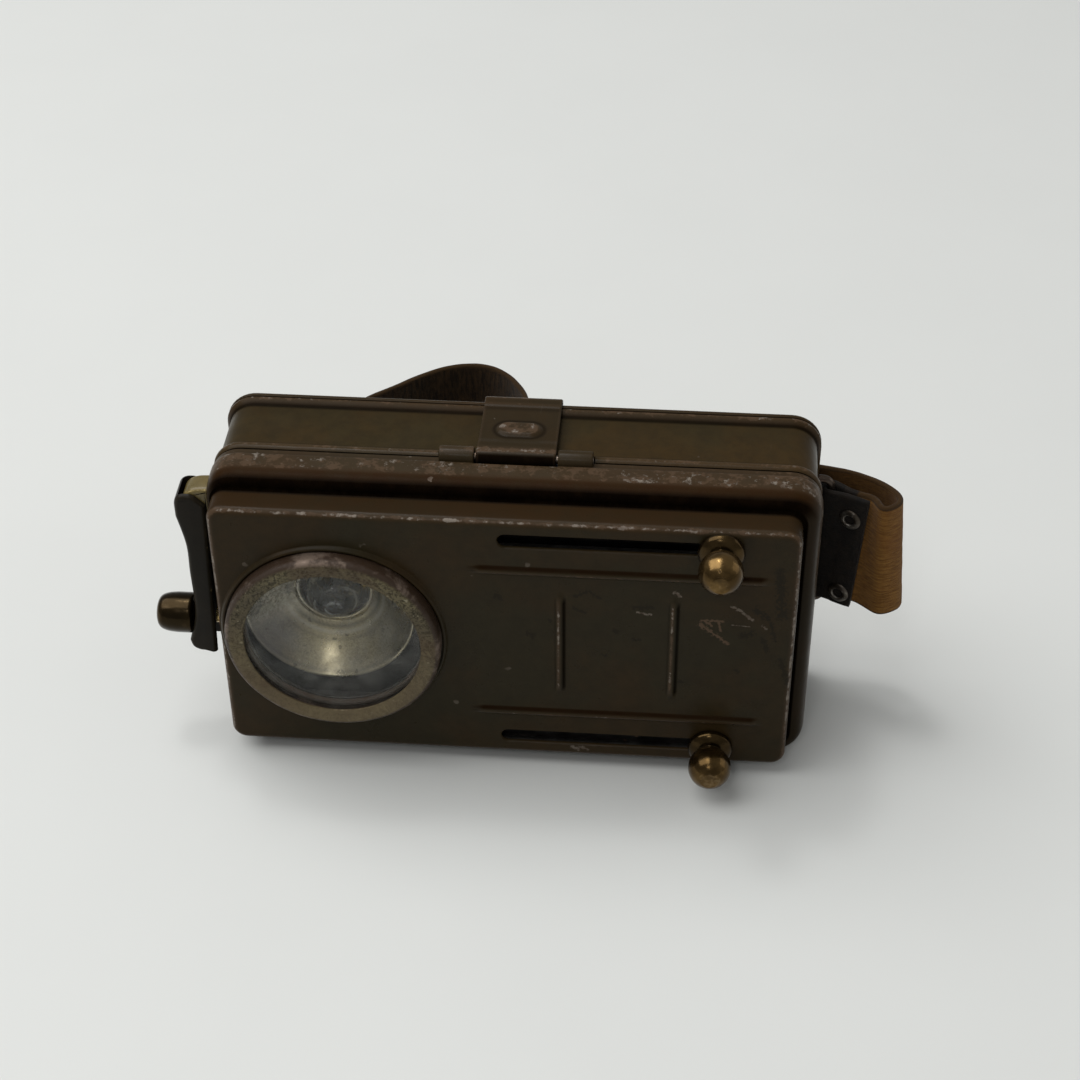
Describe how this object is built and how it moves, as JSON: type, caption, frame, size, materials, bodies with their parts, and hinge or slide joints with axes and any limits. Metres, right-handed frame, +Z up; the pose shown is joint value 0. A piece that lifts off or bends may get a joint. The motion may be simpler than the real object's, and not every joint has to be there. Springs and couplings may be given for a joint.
{
  "type": "signal flashlight",
  "caption": "Flat steel-cased signal flashlight with a lamp window, colour slides on knobs, a side signal lever, a hinged back and a leather strap.",
  "frame": {"origin": "middle of the flat of the lower long side of the shoulder, which the lamp stands on", "axes": "+Z up from the side it stands on, -Y out of the front panel with the lamp window, +X along the case away from the lamp window"},
  "size_m": [0.1478, 0.078, 0.0685],
  "materials": {
    "case_paint": "aged dark olive-brown enamel, satin, worn to primer and rust on the edges",
    "bezel_metal": "worn nickel ring with brown paint left on its side, speckled",
    "lever_paint": "dark brown-black enamel, satin, rubbed edges",
    "switch_brass": "bare yellow brass, rubbed bright",
    "knob_brass": "aged brown brass, polished by handling",
    "contact_brass": "plain spring brass",
    "inner_steel": "plain dull steel sheet",
    "slide_steel": "plain blued steel sheet",
    "fastener_steel": "dull rivets and pins",
    "wire_steel": "dark bent wire",
    "eyelet_steel": "dark rolled eyelets, lightly worn",
    "reflector_silver": "old silvering, hazy and spotted",
    "lens_glass": "clear flat glass, slightly dusty",
    "bulb_glass": "clear blown glass",
    "red_filter": "clear red signal disc",
    "green_filter": "clear green signal disc",
    "gasket": "aged soft ring",
    "fibre_board": "red-brown insulating fibre",
    "battery_card": "plain wrapped card",
    "battery_pitch": "black sealing pitch",
    "strap_leather": "worn tan leather, rough outside, dark folded ends"
  },
  "bodies": {
    "lamp_case": {"front_shell": "case_paint", "closing_lip": "inner_steel", "inner_frame": "inner_steel", "bezel_ring": "bezel_metal", "bezel_lock_ring": "inner_steel", "lens_glass": "lens_glass", "lens_gasket": "gasket", "lens_snap_ring": "inner_steel", "reflector": "reflector_silver", "bulb_glass": "bulb_glass", "bulb_cap": "knob_brass", "socket_sleeve": "contact_brass", "bulb_bridge": "fibre_board", "upper_bridge_rivet": "fastener_steel", "lower_bridge_rivet": "fastener_steel", "tip_contact": "contact_brass", "socket_lead": "contact_brass", "front_upper_guide": "inner_steel", "front_lower_guide": "inner_steel", "rear_upper_guide": "inner_steel", "rear_lower_guide": "inner_steel", "switch_base": "switch_brass", "lever_pin": "fastener_steel", "lever_spring": "contact_brass", "contact_stud": "contact_brass", "stud_washers": "fibre_board", "battery_jacket": "battery_card", "battery_lid": "battery_pitch", "long_strip": "contact_brass", "short_strip": "contact_brass", "hinge_pin": "fastener_steel"},
    "upper_slide": {"upper_slide_frame": "slide_steel", "red_filter": "red_filter", "upper_slide_knob": "knob_brass"},
    "lower_slide": {"lower_slide_frame": "slide_steel", "green_filter": "green_filter", "lower_slide_knob": "knob_brass"},
    "lever": {"signal_lever": "lever_paint"},
    "knob": {"contact_knob": "knob_brass"},
    "back": {"rear_cover": "case_paint", "hinge_leaf": "case_paint", "leaf_rivet_1": "fastener_steel", "leaf_rivet_2": "fastener_steel", "battery_spring": "inner_steel", "spring_rivet_1": "fastener_steel", "spring_rivet_2": "fastener_steel", "right_strap_wire": "wire_steel", "left_strap_wire": "wire_steel", "strap": "strap_leather", "right_eyelet_1": "eyelet_steel", "right_eyelet_2": "eyelet_steel", "left_eyelet_1": "eyelet_steel", "left_eyelet_2": "eyelet_steel"}
  },
  "joints": [
    {"name": "back_hinge", "type": "hinge", "parent": "lamp_case", "child": "back", "pos_m": [0.0003, 0.00352, 0.0665], "axis": [1, 0, 0], "range_deg": [0, 105]},
    {"name": "upper_slide_travel", "type": "slide", "parent": "lamp_case", "child": "upper_slide", "axis": [-1, 0, 0], "range_m": [0, 0.0404]},
    {"name": "lower_slide_travel", "type": "slide", "parent": "lamp_case", "child": "lower_slide", "axis": [-1, 0, 0], "range_m": [0, 0.0404]},
    {"name": "lever_press", "type": "hinge", "parent": "lamp_case", "child": "lever", "pos_m": [-0.0609, -0.00068, 0.05455], "axis": [0, -1, 0], "range_deg": [0, 2.7], "stiffness_Nm_per_rad": 0.6, "springref_deg": -1.72, "deforming": ["lever_spring"]},
    {"name": "contact_knob_turn", "type": "hinge", "parent": "lever", "child": "knob", "pos_m": [-0.0656, -0.00068, 0.02705], "axis": [1, 0, 0], "range_deg": [0, 720]}
  ]
}
